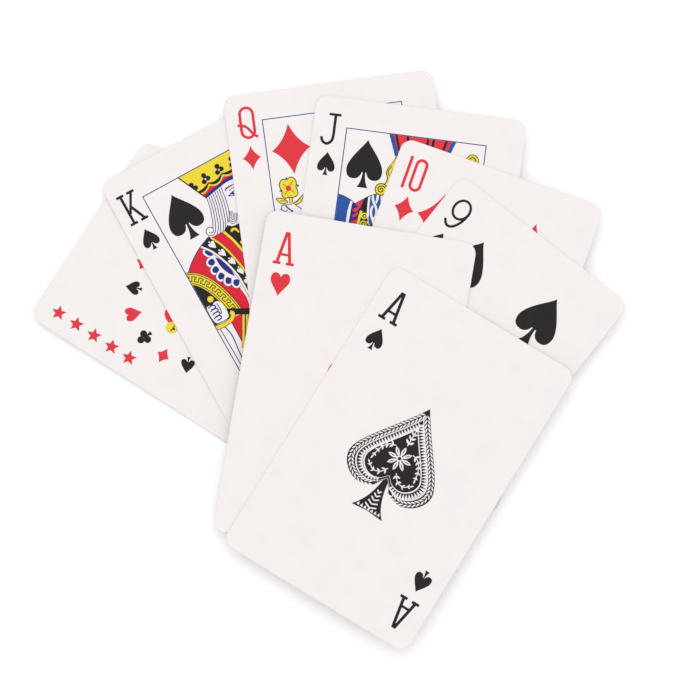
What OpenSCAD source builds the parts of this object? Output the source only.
// A fan of eight playing cards lying on a table.
// A card is two paper plies on a thin opaque core, with one film on its face for each printed ink.
// +Z points up. The origin is the point that the fan turns about, on the underside of the lowest card.

/* [Card] */
// Width of a card
card_w = 57; // [52:0.5:70]
// Height of a card
card_h = 88; // [80:0.5:110]
// Radius of a card's corners
corner_r = 3.2; // [1:0.1:6]

/* [Plies] */
// Thickness of the face ply
face_t = 0.13; // [0.08:0.01:0.3]
// Thickness of the opaque core between the plies
core_t = 0.03; // [0.01:0.01:0.1]
// Thickness of the back ply
back_t = 0.13; // [0.08:0.01:0.3]
// Thickness of one film of ink
ink_t = 0.01; // [0.005:0.005:0.05]
// Air between the uppermost print of a card and the card above it
air_gap = 0.04; // [0.02:0.01:0.5]

/* [Index] */
// Height of the letters and figures in the corners
index_h = 8.8; // [6:0.1:10]
// Width of the letters and figures in the corners
index_w = 5.3; // [4:0.1:6.5]
// Line width of the letters and figures
index_line = 0.95; // [0.5:0.05:1.2]
// Width of the small pip under the letter
index_pip_w = 4.8; // [3:0.1:6]
// Height of the small pip under the letter
index_pip_h = 6.2; // [4:0.1:8]
// From the side of a card to the middle of its index
index_side = 6.3; // [5:0.1:8]
// From the side of a court card to the middle of its index, which stands outside the frame
court_index_side = 5.4; // [4:0.1:6]
// From the end of a card to the middle of the letter
letter_end = 9.3; // [7:0.1:12]
// From the end of a card to the middle of the small pip
index_pip_end = 19.2; // [17:0.1:22]

/* [Pips] */
// Width of a spade on the number card
spade_w = 11.4; // [7:0.1:13]
// Height of a spade on the number card
spade_h = 15; // [10:0.1:17]
// Width of a diamond on the number card
diamond_w = 10.7; // [7:0.1:13]
// Height of a diamond on the number card
diamond_h = 14.2; // [10:0.1:16]
// From the side of a number card to the middle of its outer column of pips
pip_side = 15.9; // [14:0.1:18]
// From the end of a number card to the middle of its first row of pips
pip_end = 18.7; // [16:0.1:22]
// Width of the heart in the middle of the ace of hearts
heart_w = 11.2; // [8:0.1:20]
// Height of the heart in the middle of the ace of hearts
heart_h = 13.2; // [9:0.1:24]
// Width of the ornate spade in the middle of the ace of spades
ornate_w = 25.5; // [16:0.1:30]
// Height of the ornate spade in the middle of the ace of spades
ornate_h = 32.5; // [20:0.1:40]

/* [Court cards] */
// From the side of a court card to its frame
frame_side = 9.6; // [8:0.1:12]
// From the end of a court card to its frame
frame_end = 8; // [6:0.1:12]
// Width of the frame's line
frame_line = 0.35; // [0.2:0.05:0.8]
// Width of the pip inside the frame
court_pip_w = 9.8; // [6:0.1:12]
// Height of the pip inside the frame
court_pip_h = 13.3; // [8:0.1:15]
// From the side of the frame to the middle of the pip
court_pip_side = 6.6; // [6:0.1:8]
// From the end of the frame to the middle of the pip
court_pip_end = 9.3; // [8:0.1:11]

/* [Joker] */
// Radius of a star in the column along the joker's side
star_r = 2.1; // [1:0.1:2.7]
// Number of stars in the column
star_count = 5; // [1:1:6]
// From the side of the joker to the middle of the column
star_side = 5; // [4:0.1:7]
// From the end of the joker to the first star
star_end = 6.3; // [4:0.1:9]
// Distance from star to star
star_step = 5.6; // [5.5:0.1:7]
// Radius of the ring of suit signs
ring_r = 18; // [14:0.1:19]
// Number of suit signs in the ring
ring_count = 16; // [8:4:16]
// Height of the ring's middle above the middle of the card
ring_rise = 8; // [0:0.1:12]
// Width of a suit sign in the ring
sign_w = 3.7; // [2:0.1:4.5]
// Height of a suit sign in the ring
sign_h = 4.5; // [2.5:0.1:5]

/* [Fan] */
// Turn of the joker, in degrees
joker_turn = 57.3; // [-180:0.1:180]
// Turn of the king of spades, in degrees
king_turn = 28.4; // [-180:0.1:180]
// Turn of the queen of diamonds, in degrees
queen_turn = 7.7; // [-180:0.1:180]
// Turn of the jack of spades, in degrees
jack_turn = -7.5; // [-180:0.1:180]
// Turn of the ten of diamonds, in degrees
ten_turn = -19.6; // [-180:0.1:180]
// Turn of the nine of spades, in degrees
nine_turn = -38.4; // [-180:0.1:180]
// Turn of the ace of hearts, in degrees
heart_ace_turn = -9.6; // [-180:0.1:180]
// Turn of the ace of spades, in degrees
spade_ace_turn = -31.5; // [-180:0.1:180]

/* [Hidden] */
// The cards from the table upwards
CARDS = ["joker", "king_of_spades", "queen_of_diamonds", "jack_of_spades",
         "ten_of_diamonds", "nine_of_spades", "ace_of_hearts", "ace_of_spades"];
JOKER = 0;
KING = 1;
QUEEN = 2;
JACK = 3;
TEN = 4;
NINE = 5;
HEART_ACE = 6;
SPADE_ACE = 7;
PLIES = ["back", "core", "face"];
COURT_INKS = ["yellow", "red", "blue", "black"];
PRINTS = concat(
    [for (ink = ["yellow", "red", "black"]) str("joker_", ink, "_print")],
    [for (court = [KING, QUEEN, JACK]) for (ink = COURT_INKS) str(CARDS[court], "_", ink, "_print")],
    ["ten_of_diamonds_red_print", "nine_of_spades_black_print",
     "ace_of_hearts_red_print", "ace_of_spades_black_print"]
);

turns = [joker_turn, king_turn, queen_turn, jack_turn, ten_turn, nine_turn, heart_ace_turn, spade_ace_turn];
// Middle of each card from the point that the fan turns about, as shares of the card's width and height
centre_shares = [[-0.626, 0.1975], [-0.414, 0.315], [-0.042, 0.419], [0.202, 0.342],
                 [0.431, 0.166], [0.403, 0.0355], [-0.060, -0.025], [0.194, -0.243]];
// How far each print lies off the middle of its card, as shares of the card's width and height
register_shares = [[0, 0], [-0.009, -0.005], [0.005, 0.008], [-0.008, 0],
                   [-0.003, 0.010], [-0.002, 0.005], [0.004, -0.003], [0.001, -0.007]];

paper = "#f7f1f0";
core_grey = "#5b5d63";
inks = [["yellow", "#f1dc3f"], ["red", "#e33a45"], ["blue", "#3058a6"], ["black", "#231f20"]];
function ink_colour(ink) = [for (row = inks) if (row[0] == ink) row[1]][0];
// Each ink has its own level on the face, in the order in which the inks are printed
function ink_level(ink) = [for (k = [0 : len(inks) - 1]) if (inks[k][0] == ink) k][0];

card_t = back_t + core_t + face_t;
pitch = card_t + len(inks) * ink_t + air_gap;
frame_w = card_w - 2 * frame_side;
frame_h = card_h - 2 * frame_end;
round_fn = 48;
curve_steps = 8;

// Curves and strokes

function blend(a, b, t) = a + (b - a) * t;
// Point of a curve drawn towards its control points, at the share t of its run
function curve_point(p, t) =
    len(p) == 1 ? p[0] : curve_point([for (k = [0 : len(p) - 2]) blend(p[k], p[k + 1], t)], t);
function curve(p) = [for (k = [0 : curve_steps]) curve_point(p, k / curve_steps)];
function scaled(points, w, h) = [for (p = points) [p.x * w, p.y * h]];
function mirrored(points) = [for (p = points) [-p.x, p.y]];
function shifted(points, by) = [for (p = points) p + by];
function reversed(points) = [for (k = [len(points) - 1 : -1 : 0]) points[k]];
function heading(path, k) = path[min(k + 1, len(path) - 1)] - path[max(k - 1, 0)];
function normal(path, k) = [-heading(path, k).y, heading(path, k).x] / norm(heading(path, k));
function edge(path, off) = [for (k = [0 : len(path) - 1]) path[k] + off * normal(path, k)];
function stroke(path, w) = concat(edge(path, -w / 2), reversed(edge(path, w / 2)));

// Upright ring with round ends and straight sides
module ring(w, h, line) {
    difference() {
        pill(w, h);
        pill(w - 2 * line, h - 2 * line);
    }
}

module pill(w, h) {
    for (side = [-1, 1])
        translate([0, side * (h - w) / 2])
            circle(d = w, $fn = round_fn);
    square([w, h - w], center = true);
}

// Suit signs, each filling a given width and height about its middle

// Right half of a spade, from its tip to the foot of its stem
spade_side_shares = concat(
    curve([[0, 0.5], [0.07, 0.37], [0.5, 0.08], [0.5, -0.15]]),
    curve([[0.49, -0.19], [0.47, -0.33], [0.31, -0.33]]),
    curve([[0.25, -0.33], [0.1, -0.3], [0.06, -0.175]]),
    curve([[0.04, -0.2], [0.05, -0.38], [0.155, -0.5]])
);
heart_side_shares = concat(
    curve([[0, 0.37], [0.06, 0.5], [0.26, 0.5]]),
    curve([[0.32, 0.5], [0.5, 0.46], [0.5, 0.22]]),
    curve([[0.5, 0.17], [0.42, -0.06], [0.14, -0.24], [0, -0.5]])
);
diamond_side_shares = concat(
    curve([[0, 0.5], [0.16, 0.16], [0.5, 0]]),
    curve([[0.5, 0], [0.16, -0.16], [0, -0.5]])
);
// A club's leaves and stem, as shares of its width and height
club_leaf_share = 0.26;
club_leaf_shares = [[-0.25, -0.09], [0.25, -0.09], [0, 0.25]];
club_stem_shares = [[0, 0.1], [-0.05, -0.2], [-0.16, -0.5], [0.16, -0.5], [0.05, -0.2]];

// Whole outline from its right side, which runs down from the top
function both_sides(side) = concat(reversed(side), mirrored(side));

module spade(w, h) {
    polygon(scaled(both_sides(spade_side_shares), w, h));
}

module heart(w, h) {
    polygon(scaled(both_sides(heart_side_shares), w, h));
}

module diamond(w, h) {
    polygon(scaled(both_sides(diamond_side_shares), w, h));
}

module club(w, h) {
    for (leaf = club_leaf_shares)
        translate([leaf.x * w, leaf.y * h])
            circle(r = club_leaf_share * w, $fn = round_fn);
    polygon(scaled(club_stem_shares, w, h));
}

star_points = 5;
star_waist_share = 0.45;
module star(r) {
    polygon([for (k = [0 : 2 * star_points - 1])
        let (reach = k % 2 == 0 ? r : r * star_waist_share, turn = 90 + k * 180 / star_points)
        reach * [cos(turn), sin(turn)]]);
}

// Letters and figures, drawn as strokes in a box of index_w by index_h about its middle

// Strokes of each letter, as shares of the index's width and height
ace_stroke_shares = [[[-0.34, -0.45], [-0.05, 0.5]], [[0.34, -0.45], [0.05, 0.5]],
                     [[-0.24, -0.17], [0.24, -0.17]]];
ace_serif_shares = [[-0.5, -0.12, -1], [0.12, 0.5, -1], [-0.13, 0.13, 1]];
king_stroke_shares = [[[-0.31, -0.5], [-0.31, 0.5]], [[-0.3, -0.12], [0.28, 0.46]],
                      [[-0.1, 0.08], [0.31, -0.46]]];
king_serif_shares = [[-0.5, -0.12, -1], [-0.5, -0.12, 1], [0.1, 0.5, -1], [0.06, 0.48, 1]];
jack_stroke_shares = [concat([[0.2, 0.46]], curve([[0.2, -0.2], [0.2, -0.6], [-0.4, -0.6], [-0.42, -0.2]]))];
jack_serif_shares = [[-0.12, 0.5, 1]];
queen_tail_shares = curve([[-0.5, -0.23], [0, -0.14], [0.1, -0.48], [0.52, -0.42]]);
nine_tail_shares = curve([[0.41, 0.22], [0.46, -0.46], [0, -0.62], [-0.45, -0.3]]);
queen_ring_share = 0.8;
nine_ring_shares = [0.92, 0.66];
zero_ring_share = 0.66;

module strokes(rows) {
    for (row = rows)
        polygon(stroke(scaled(row, index_w, index_h), index_line));
}

// Each row gives the two ends of a flat serif and whether it lies along the top or the foot
module serifs(rows) {
    for (row = rows)
        translate([row[0] * index_w, row[2] * (index_h - index_line) / 2 - index_line / 2])
            square([(row[1] - row[0]) * index_w, index_line]);
}

module letter_ace() {
    strokes(ace_stroke_shares);
    serifs(ace_serif_shares);
}

module letter_king() {
    strokes(king_stroke_shares);
    serifs(king_serif_shares);
}

module letter_queen() {
    ring(queen_ring_share * index_w, index_h, index_line);
    strokes([queen_tail_shares]);
}

module letter_jack() {
    strokes(jack_stroke_shares);
    serifs(jack_serif_shares);
}

module figure_ten() {
    translate([-(index_w - index_line) / 2, 0])
        square([index_line, index_h], center = true);
    translate([(1 - zero_ring_share) * index_w / 2, 0])
        ring(zero_ring_share * index_w, index_h, index_line);
}

module figure_nine() {
    translate([0, (1 - nine_ring_shares.y) * index_h / 2])
        ring(nine_ring_shares.x * index_w, nine_ring_shares.y * index_h, index_line);
    strokes([nine_tail_shares]);
}

// Layout on a card, about the middle of its print

module both_ends() {
    children();
    rotate(180)
        children();
}

// A letter, the first child, above a small pip, the second
module index(side) {
    both_ends() {
        translate([side - card_w / 2, card_h / 2 - letter_end])
            children(0);
        translate([side - card_w / 2, card_h / 2 - index_pip_end])
            children(1);
    }
}

pip_column = card_w / 2 - pip_side;
pip_row = card_h / 2 - pip_end;
// Rows of the outer columns, as shares of the height of the first row
row_shares = [1, 1 / 3];
// Height of a ten's middle pips, as a share of the same height
ten_middle_share = 2 / 3;

module outer_columns() {
    both_ends()
        for (side = [-1, 1], row = row_shares)
            translate([side * pip_column, row * pip_row])
                children();
}

module court_pip() {
    both_ends()
        translate([court_pip_side - frame_w / 2, frame_h / 2 - court_pip_end])
            children();
}

module court_frame() {
    difference() {
        square([frame_w + frame_line, frame_h + frame_line], center = true);
        square([frame_w - frame_line, frame_h - frame_line], center = true);
    }
}

// Court figures: points are shares of half the frame's width and height, widths are shares of its width

function framed(shares) = scaled(shares, frame_w / 2, frame_h / 2);

module patch(shares) {
    polygon(framed(shares));
}

// Each row holds a band's control points and its width
module bands(rows) {
    for (row = rows)
        polygon(stroke(curve(framed(row[0])), row[1] * frame_w));
}

module discs(places, r_share) {
    for (place = framed(places))
        translate(place)
            circle(r = r_share * frame_w, $fn = round_fn);
}

module loops(places, r_share, line_share) {
    for (place = framed(places))
        translate(place)
            difference() {
                circle(r = r_share * frame_w, $fn = round_fn);
                circle(r = (r_share - line_share) * frame_w, $fn = round_fn);
            }
}

// The face lies about this share of half the frame's width off the middle
face_share = 0.12;
face_line_share = 0.012;
// Brows, eyes, nose and mouth of a court figure
face_band_shares = [
    [[[-0.11, 0.72], [-0.05, 0.75], [0.03, 0.73]], face_line_share],
    [[[0.21, 0.73], [0.29, 0.75], [0.35, 0.72]], face_line_share],
    [[[-0.1, 0.695], [-0.04, 0.715], [0.02, 0.695]], face_line_share],
    [[[0.22, 0.695], [0.28, 0.715], [0.34, 0.695]], face_line_share],
    [[[0.13, 0.72], [0.19, 0.62], [0.1, 0.615]], face_line_share],
    [[[0.03, 0.575], [0.12, 0.56], [0.21, 0.575]], 1.5 * face_line_share]
];
eye_places_shares = [[-0.04, 0.695], [0.28, 0.695]];
eye_share = 0.012;

// Copies of a band, one step apart
function stepped(row, step, count) = [for (k = [0 : count - 1]) [shifted(row[0], k * step), row[1]]];
// Both sides of the face, from bands drawn on its left
function across_face(rows) = concat(rows, [for (row = rows)
    [[for (p = row[0]) [2 * face_share - p.x, p.y]], row[1]]]);

// The line on which the two ends of a court card meet
seam_band_shares = [[[[-1, -0.5], [1, 0.5]], face_line_share]];

// King of spades

king_crown_shares = [[-0.43, 1], [-0.24, 0.775], [0.48, 0.775], [0.67, 1]];
king_trefoil_shares = [[-0.12, 0.875], [0.12, 0.895], [0.36, 0.875]];
trefoil_w_share = 0.065;
king_yellow_band_shares = [
    [[[-0.985, 0.29], [-0.74, 0.16], [-0.63, -0.075]], 0.075],
    [[[-0.97, -0.14], [-0.8, -0.14], [-0.7, -0.115]], 0.022],
    [[[-0.41, 0.46], [-0.3, 0.3], [-0.215, 0.17]], 0.018],
    [[[-0.22, 0.465], [-0.16, 0.38], [-0.1, 0.3]], 0.018],
    [[[-0.555, -0.155], [-0.7, -0.305]], 0.022],
    [[[0.44, 0.46], [0.42, 0.38], [0.42, 0.26]], 0.018]
];
king_pommel_shares = [[-0.87, 0.08]];
king_robe_shares = [[-0.985, 0.345], [-0.82, 0.42], [-0.65, 0.465], [-0.72, 0.36], [-0.74, 0.24],
                    [-0.68, 0.15], [-0.57, 0.08], [-0.42, 0.02], [-0.39, -0.09], [-0.47, -0.12],
                    [-0.56, -0.09], [-0.61, 0], [-0.72, 0.125], [-0.84, 0.24]];
king_skirt_shares = [[-0.755, -0.17], [-0.59, -0.155], [-0.74, -0.31]];
king_mantle_shares = [[0.47, 0.46], [0.68, 0.47], [0.94, 0.49], [0.68, 0.36], [0.47, 0.25]];
king_red_band_shares = [
    [[[-0.22, 0.805], [0.12, 0.87], [0.46, 0.805]], 0.03],
    [[[-0.315, 0.465], [-0.23, 0.32], [-0.15, 0.23]], 0.06]
];
king_rim_band_shares = [[[-0.25, 0.78], [0.12, 0.84], [0.49, 0.78]], 0.022];
// Locks of hair fall from the rim to the shoulder, one step apart
king_lock_count = 5;
king_lock_band_shares = [[[-0.23, 0.765], [-0.26, 0.6], [-0.39, 0.49]], face_line_share];
king_lock_step_shares = [0.05, -0.008];
king_curl_shares = [[-0.42, 0.525], [0.66, 0.525]];
king_curl_share = 0.032;
king_scallop_path_shares = [[-0.62, 0.38], [-0.74, 0.19], [-0.46, 0.06]];
king_scallop_count = 6;
king_scallop_share = 0.034;
king_blue_band_shares = [
    [[[-0.54, 0.35], [-0.5, 0.22], [-0.43, 0.12]], 0.02],
    [[[-0.93, -0.165], [-0.93, -0.44]], face_line_share],
    [[[-0.88, -0.165], [-0.83, -0.27], [-0.87, -0.41]], face_line_share]
];
// Beard lines, drawn on the left of the face
king_beard_band_shares = [[[0.06, 0.55], [0.05, 0.5], [0.08, 0.47]], face_line_share];
king_beard_step_shares = [-0.06, 0.004];
king_beard_count = 3;
king_sash_band_shares = [[[-0.525, 0.46], [-0.41, 0.26], [-0.36, 0.0]], 0.085];
king_sash_spade_count = 5;
king_sash_spade_shares = [0.05, 0.062];
king_cuff_shares = [[-0.985, 0.205], [-0.89, 0.14], [-0.79, 0.05], [-0.74, -0.05], [-0.76, -0.115],
                    [-0.985, -0.115]];
king_hand_shares = [[-0.965, 0.02], [-0.84, 0.03], [-0.77, -0.04], [-0.79, -0.1], [-0.95, -0.1]];
king_bar_band_shares = [[[-0.72, -0.06], [-0.47, -0.145]], 0.035];
king_collar_shares = [[-0.06, 0.46], [0.3, 0.46], [0.27, 0.17], [0.05, 0.06], [-0.07, 0.24]];
king_clasp_shares = [[0.02, 0.38], [0.22, 0.38], [0.12, 0.24]];
king_clasp_share = 0.025;

module king_yellow() {
    patch(king_crown_shares);
    bands(king_yellow_band_shares);
    discs(king_pommel_shares, king_clasp_share);
    discs(king_clasp_shares, king_clasp_share);
}

module king_red() {
    patch(king_robe_shares);
    patch(king_skirt_shares);
    patch(king_mantle_shares);
    bands(king_red_band_shares);
}

module king_blue() {
    bands([king_rim_band_shares]);
    bands(across_face(stepped(king_lock_band_shares, king_lock_step_shares, king_lock_count)));
    loops(king_curl_shares, king_curl_share, face_line_share);
    loops([for (k = [0 : king_scallop_count - 1])
        curve_point(king_scallop_path_shares, k / (king_scallop_count - 1))],
        king_scallop_share, king_scallop_share / 2);
    bands(king_blue_band_shares);
    bands(across_face(stepped(king_beard_band_shares, king_beard_step_shares, king_beard_count)));
}

module king_sash() {
    difference() {
        bands([king_sash_band_shares]);
        for (k = [1 : king_sash_spade_count])
            translate(curve_point(framed(king_sash_band_shares[0]), k / (king_sash_spade_count + 1)))
                rotate(180)
                    spade(king_sash_spade_shares.x * frame_w, king_sash_spade_shares.y * frame_w);
    }
}

module king_cuff() {
    difference() {
        patch(king_cuff_shares);
        patch(king_hand_shares);
    }
}

module king_black() {
    king_sash();
    king_cuff();
    bands([king_bar_band_shares]);
    difference() {
        patch(king_collar_shares);
        discs(king_clasp_shares, king_clasp_share);
    }
    for (place = framed(king_trefoil_shares))
        translate(place)
            club(trefoil_w_share * frame_w, trefoil_w_share * frame_w);
    bands(face_band_shares);
    discs(eye_places_shares, eye_share);
}

// Queen of diamonds

queen_crown_shares = [[-0.2, 1], [-0.14, 0.85], [0.38, 0.85], [0.44, 1]];
// Middle of the rose that the queen holds, and the rose's width
queen_rose_place_shares = [-0.755, 0.475];
queen_rose_w_share = 0.125;
// The rose has four petals round a disc, a stem and two leaves, as shares of its width
petal_places_shares = [[-0.21, 0.27], [0.21, 0.27], [-0.21, -0.27], [0.21, -0.27]];
petal_share = 0.285;
rose_disc_share = 0.19;
rose_heart_share = 0.16;
rose_leaf_share = 0.17;
rose_leaf_shares = [[[0.04, -0.45], [0.04, -0.9]], [[-0.78, -0.57], [-0.45, -0.8], [0.06, -0.87]],
                    [[0.02, -0.87], [0.5, -0.8], [0.76, -0.55]]];
queen_yellow_band_shares = [
    [[[-0.13, 0.83], [-0.21, 0.7], [-0.15, 0.52]], 0.04],
    [[[0.37, 0.83], [0.45, 0.7], [0.39, 0.52]], 0.04],
    [[[-0.18, 0.44], [0.12, 0.33], [0.42, 0.44]], 0.025],
    [[[-0.47, 0.42], [-0.38, 0.2], [-0.36, -0.09]], 0.03]
];
queen_dress_shares = [[-0.5, 0.38], [-0.62, 0.3], [-0.98, 0.16], [-0.98, -0.4], [-0.55, -0.2], [-0.44, -0.09],
                      [-0.46, 0.16]];
queen_bodice_shares = [[-0.27, 0.42], [-0.16, 0.4], [0.12, 0.29], [0.36, 0.38], [0.46, 0.42], [0.72, 0.42],
                       [0.44, 0.26], [0, 0.04], [-0.26, -0.06], [-0.29, 0.16]];
queen_rim_band_shares = [[[-0.15, 0.845], [0.12, 0.885], [0.39, 0.845]], 0.022];
queen_veil_band_shares = across_face([[[[-0.21, 0.87], [-0.34, 0.66], [-0.25, 0.46]], 0.03]]);
queen_finger_band_shares = [[[-0.88, 0.31], [-0.85, 0.345], [-0.81, 0.305]], face_line_share];
queen_finger_step_shares = [0.075, -0.004];
queen_finger_count = 3;
queen_gem_shares = [[-0.05, 0.945], [0.12, 0.95], [0.29, 0.945]];
queen_gem_w_share = 0.05;
queen_lozenge_path_shares = [[-0.7, 0.2], [-0.78, 0], [-0.78, -0.24]];
queen_lozenge_count = 4;

module rose_discs(places, r_share, w) {
    for (place = places)
        translate(place * w)
            circle(r = r_share * w, $fn = round_fn);
}

module rose(w) {
    rose_discs(petal_places_shares, petal_share, w);
    rose_discs([[0, 0]], rose_disc_share, w);
    for (leaf = rose_leaf_shares)
        polygon(stroke(curve(leaf * w), rose_leaf_share * w));
}

// Places its children on the rose's middle
module at_rose() {
    translate(framed([queen_rose_place_shares])[0])
        children();
}

module queen_yellow() {
    patch(queen_crown_shares);
    at_rose()
        rose(queen_rose_w_share * frame_w);
    bands(queen_yellow_band_shares);
}

module queen_red() {
    at_rose()
        rose_discs([[0, 0]], rose_heart_share, queen_rose_w_share * frame_w);
    patch(queen_dress_shares);
    for (place = framed(queen_gem_shares))
        translate(place)
            diamond(queen_gem_w_share * frame_w, queen_gem_w_share * frame_w);
}

module queen_blue() {
    bands([queen_rim_band_shares]);
    bands(queen_veil_band_shares);
    bands(stepped(queen_finger_band_shares, queen_finger_step_shares, queen_finger_count));
    patch(queen_bodice_shares);
}

module queen_black() {
    bands(face_band_shares);
    discs(eye_places_shares, eye_share);
    for (k = [0 : queen_lozenge_count - 1])
        translate(curve_point(framed(queen_lozenge_path_shares), k / (queen_lozenge_count - 1)))
            diamond(queen_gem_w_share * frame_w, 2 * queen_gem_w_share * frame_w);
}

// Jack of spades

jack_hat_shares = [[-0.36, 1], [-0.245, 0.835], [0.45, 0.835], [0.57, 1]];
jack_stripe_share = 0.018;
jack_stripe_band_shares = [
    [[[-0.31, 0.99], [-0.22, 0.86]], jack_stripe_share],
    [[[-0.13, 0.99], [-0.09, 0.85]], jack_stripe_share],
    [[[0.16, 0.99], [0.16, 0.85]], jack_stripe_share],
    [[[0.25, 0.99], [0.24, 0.85]], jack_stripe_share],
    [[[0.445, 0.99], [0.38, 0.85]], jack_stripe_share]
];
jack_hat_edge_band_shares = [
    [[[-0.385, 0.995], [-0.26, 0.835]], 0.028],
    [[[0.595, 0.995], [0.465, 0.835]], 0.028]
];
jack_hair_band_shares = across_face([[[[-0.25, 0.825], [-0.27, 0.7], [-0.36, 0.62]], 0.03]]);
jack_curl_shares = [[-0.4, 0.575], [0.64, 0.575]];
jack_curl_share = 0.04;
jack_sleeve_shares = [[-0.985, 0.49], [-0.86, 0.465], [-0.8, 0.45], [-0.84, 0.2], [-0.86, -0.2],
                      [-0.985, -0.4]];
jack_coat_shares = [[-0.74, 0.43], [-0.63, 0.485], [-0.62, 0.3], [-0.62, 0], [-0.66, -0.2], [-0.8, -0.3],
                    [-0.78, 0.2]];
jack_braid_band_shares = [[[-0.49, 0.515], [-0.5, 0.25], [-0.42, -0.1]], 0.075];
jack_trim_band_shares = [[[-0.59, 0.49], [-0.585, 0.25], [-0.54, -0.15]], 0.025];
jack_panel_shares = [[-0.34, 0.46], [-0.02, 0.36], [0.12, 0.3], [0.26, 0.36], [0.56, 0.46], [0.86, 0.47],
                     [0.5, 0.29], [0, 0.04], [-0.3, -0.1], [-0.37, 0.2]];
jack_button_path_shares = [[-0.16, 0.34], [-0.2, 0.16], [-0.16, 0.02]];
jack_button_count = 3;
jack_button_share = 0.025;
jack_finial_shares = [[0.84, 0.885]];
jack_finial_share = 0.043;

module jack_yellow() {
    bands(jack_hair_band_shares);
    discs(jack_curl_shares, jack_curl_share);
    discs(jack_finial_shares, jack_finial_share);
    discs([for (k = [0 : jack_button_count - 1])
        curve_point(jack_button_path_shares, k / (jack_button_count - 1))], jack_button_share);
}

module jack_red() {
    patch(jack_hat_shares);
    patch(jack_coat_shares);
}

module jack_blue() {
    bands(jack_hat_edge_band_shares);
    patch(jack_sleeve_shares);
    bands([jack_braid_band_shares]);
}

module jack_black() {
    bands(jack_stripe_band_shares);
    bands([jack_trim_band_shares]);
    difference() {
        patch(jack_panel_shares);
        discs([for (k = [0 : jack_button_count - 1])
            curve_point(jack_button_path_shares, k / (jack_button_count - 1))], jack_button_share);
    }
    bands(face_band_shares);
    discs(eye_places_shares, eye_share);
}

// Joker: a fool's cap in a ring of suit signs, drawn as shares of the ring's radius

cap_left_horn_shares = concat(
    curve([[-0.36, -0.34], [-0.52, 0.3], [-0.56, 0.16]]),
    curve([[-0.56, 0.16], [-0.4, 0.7], [-0.02, -0.1], [0, -0.34]])
);
cap_middle_horn_shares = concat(
    curve([[-0.16, -0.34], [-0.24, 0.1], [0, 0.56]]),
    curve([[0, 0.56], [0.24, 0.1], [0.16, -0.34]])
);
cap_brim_share = 0.14;
cap_brim_shares = [[-0.42, -0.34], [0, -0.46], [0.42, -0.34]];
cap_bell_shares = [[-0.58, 0.12], [0, 0.62], [0.58, 0.12]];
cap_bell_share = 0.09;

module cap_bells() {
    for (place = cap_bell_shares)
        translate(place * ring_r)
            circle(r = cap_bell_share * ring_r, $fn = round_fn);
}

module cap_middle_horn() {
    polygon(scaled(cap_middle_horn_shares, ring_r, ring_r));
}

module cap_side_horns() {
    difference() {
        for (side = [-1, 1])
            polygon(scaled(cap_left_horn_shares, side * ring_r, ring_r));
        cap_middle_horn();
        cap_bells();
    }
}

module cap_brim() {
    polygon(stroke(curve(scaled(cap_brim_shares, ring_r, ring_r)), cap_brim_share * ring_r));
}

// Suit signs follow one another round the ring: from a first one, every fourth is alike
module ring_signs(first) {
    for (k = [first : 4 : ring_count - 1])
        rotate(k * 360 / ring_count)
            translate([0, ring_r])
                children();
}

module star_column() {
    for (k = [0 : star_count - 1])
        translate([star_side - card_w / 2, card_h / 2 - star_end - k * star_step])
            star(star_r);
}

module joker_art() {
    translate([0, ring_rise])
        children();
}

// Ornate spade of the ace: a light line inside its border, and a rosette cut out of its field

// Right side of the spade's leaf, without the stem
leaf_side_shares = concat(
    curve([[0, 0.5], [0.07, 0.37], [0.5, 0.08], [0.5, -0.15]]),
    curve([[0.49, -0.19], [0.47, -0.33], [0.31, -0.33]]),
    curve([[0.25, -0.33], [0.12, -0.27], [0, -0.08]])
);
// The line's two edges are leaves of these sizes, drawn towards the middle of the spade
ornate_line_shares = [0.86, 0.8];
rosette_petals = 8;
rosette_r_share = 0.17;
petal_side_shares = curve([[0, 1], [0.34, 0.7], [0.1, 0.22]]);

module leaf(w, h) {
    polygon(scaled(both_sides(leaf_side_shares), w, h));
}

module rosette(r) {
    for (k = [0 : rosette_petals - 1])
        rotate(k * 360 / rosette_petals)
            polygon(scaled(both_sides(petal_side_shares), r, r));
}

module ornate_spade() {
    difference() {
        spade(ornate_w, ornate_h);
        difference() {
            leaf(ornate_line_shares[0] * ornate_w, ornate_line_shares[0] * ornate_h);
            leaf(ornate_line_shares[1] * ornate_w, ornate_line_shares[1] * ornate_h);
        }
        rosette(rosette_r_share * ornate_h);
    }
}

// Solids

module card_outline() {
    square([card_w - 2 * corner_r, card_h], center = true);
    square([card_w, card_h - 2 * corner_r], center = true);
    for (x = [-1, 1], y = [-1, 1])
        translate([x * (card_w / 2 - corner_r), y * (card_h / 2 - corner_r)])
            circle(r = corner_r, $fn = round_fn);
}

// Places its children on a card of the fan, at a height above that card's underside
module on_card(card, height) {
    translate([centre_shares[card].x * card_w, centre_shares[card].y * card_h, card * pitch + height])
        rotate(turns[card])
            children();
}

module back_ply(card) {
    color(paper)
        on_card(card, 0)
            linear_extrude(back_t)
                card_outline();
}

module core_ply(card) {
    color(core_grey)
        on_card(card, back_t)
            linear_extrude(core_t)
                card_outline();
}

module face_ply(card) {
    color(paper)
        on_card(card, back_t + core_t)
            linear_extrude(face_t)
                card_outline();
}

// One film of ink, from the flat art that is its child
module print_film(card, ink) {
    color(ink_colour(ink))
        on_card(card, card_t + ink_level(ink) * ink_t)
            linear_extrude(ink_t)
                translate([register_shares[card].x * card_w, register_shares[card].y * card_h])
                    children();
}

module joker_yellow_print() {
    print_film(JOKER, "yellow")
        joker_art() {
            cap_middle_horn();
            cap_bells();
        }
}

module joker_red_print() {
    print_film(JOKER, "red") {
        star_column();
        joker_art() {
            cap_side_horns();
            ring_signs(0)
                diamond(sign_w, sign_h);
            ring_signs(2)
                heart(sign_w, sign_h);
        }
    }
}

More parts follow.
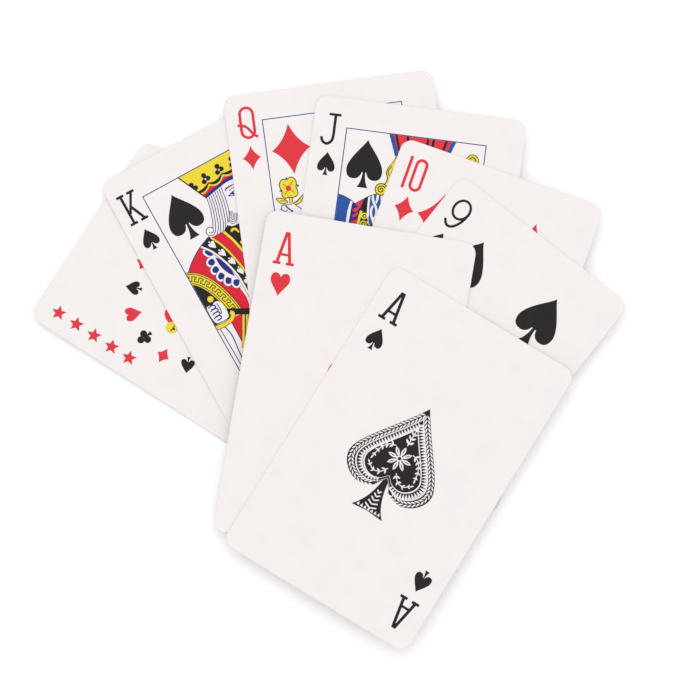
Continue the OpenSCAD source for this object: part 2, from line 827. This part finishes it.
module joker_black_print() {
    print_film(JOKER, "black")
        joker_art() {
            cap_brim();
            ring_signs(1)
                spade(sign_w, sign_h);
            ring_signs(3)
                club(sign_w, sign_h);
        }
}

module king_of_spades_yellow_print() {
    print_film(KING, "yellow")
        both_ends()
            king_yellow();
}

module king_of_spades_red_print() {
    print_film(KING, "red")
        both_ends()
            king_red();
}

module king_of_spades_blue_print() {
    print_film(KING, "blue") {
        court_frame();
        bands(seam_band_shares);
        both_ends()
            king_blue();
    }
}

module king_of_spades_black_print() {
    print_film(KING, "black") {
        index(court_index_side) {
            letter_king();
            spade(index_pip_w, index_pip_h);
        }
        court_pip()
            spade(court_pip_w, court_pip_h);
        both_ends()
            king_black();
    }
}

module queen_of_diamonds_yellow_print() {
    print_film(QUEEN, "yellow")
        both_ends()
            queen_yellow();
}

module queen_of_diamonds_red_print() {
    print_film(QUEEN, "red") {
        index(court_index_side) {
            letter_queen();
            diamond(index_pip_w, index_pip_h);
        }
        court_pip()
            diamond(court_pip_w, court_pip_h);
        both_ends()
            queen_red();
    }
}

module queen_of_diamonds_blue_print() {
    print_film(QUEEN, "blue") {
        court_frame();
        bands(seam_band_shares);
        both_ends()
            queen_blue();
    }
}

module queen_of_diamonds_black_print() {
    print_film(QUEEN, "black")
        both_ends()
            queen_black();
}

module jack_of_spades_yellow_print() {
    print_film(JACK, "yellow")
        both_ends()
            jack_yellow();
}

module jack_of_spades_red_print() {
    print_film(JACK, "red")
        both_ends()
            jack_red();
}

module jack_of_spades_blue_print() {
    print_film(JACK, "blue") {
        court_frame();
        bands(seam_band_shares);
        both_ends()
            jack_blue();
    }
}

module jack_of_spades_black_print() {
    print_film(JACK, "black") {
        index(court_index_side) {
            letter_jack();
            spade(index_pip_w, index_pip_h);
        }
        court_pip()
            spade(court_pip_w, court_pip_h);
        both_ends()
            jack_black();
    }
}

module ten_of_diamonds_red_print() {
    print_film(TEN, "red") {
        index(index_side) {
            figure_ten();
            diamond(index_pip_w, index_pip_h);
        }
        outer_columns()
            diamond(diamond_w, diamond_h);
        both_ends()
            translate([0, ten_middle_share * pip_row])
                diamond(diamond_w, diamond_h);
    }
}

module nine_of_spades_black_print() {
    print_film(NINE, "black") {
        index(index_side) {
            figure_nine();
            spade(index_pip_w, index_pip_h);
        }
        outer_columns()
            spade(spade_w, spade_h);
        spade(spade_w, spade_h);
    }
}

module ace_of_hearts_red_print() {
    print_film(HEART_ACE, "red") {
        index(index_side) {
            letter_ace();
            heart(index_pip_w, index_pip_h);
        }
        heart(heart_w, heart_h);
    }
}

module ace_of_spades_black_print() {
    print_film(SPADE_ACE, "black") {
        index(index_side) {
            letter_ace();
            spade(index_pip_w, index_pip_h);
        }
        ornate_spade();
    }
}

for (card = [0 : len(CARDS) - 1]) {
    back_ply(card);
    core_ply(card);
    face_ply(card);
}
joker_yellow_print();
joker_red_print();
joker_black_print();
king_of_spades_yellow_print();
king_of_spades_red_print();
king_of_spades_blue_print();
king_of_spades_black_print();
queen_of_diamonds_yellow_print();
queen_of_diamonds_red_print();
queen_of_diamonds_blue_print();
queen_of_diamonds_black_print();
jack_of_spades_yellow_print();
jack_of_spades_red_print();
jack_of_spades_blue_print();
jack_of_spades_black_print();
ten_of_diamonds_red_print();
nine_of_spades_black_print();
ace_of_hearts_red_print();
ace_of_spades_black_print();
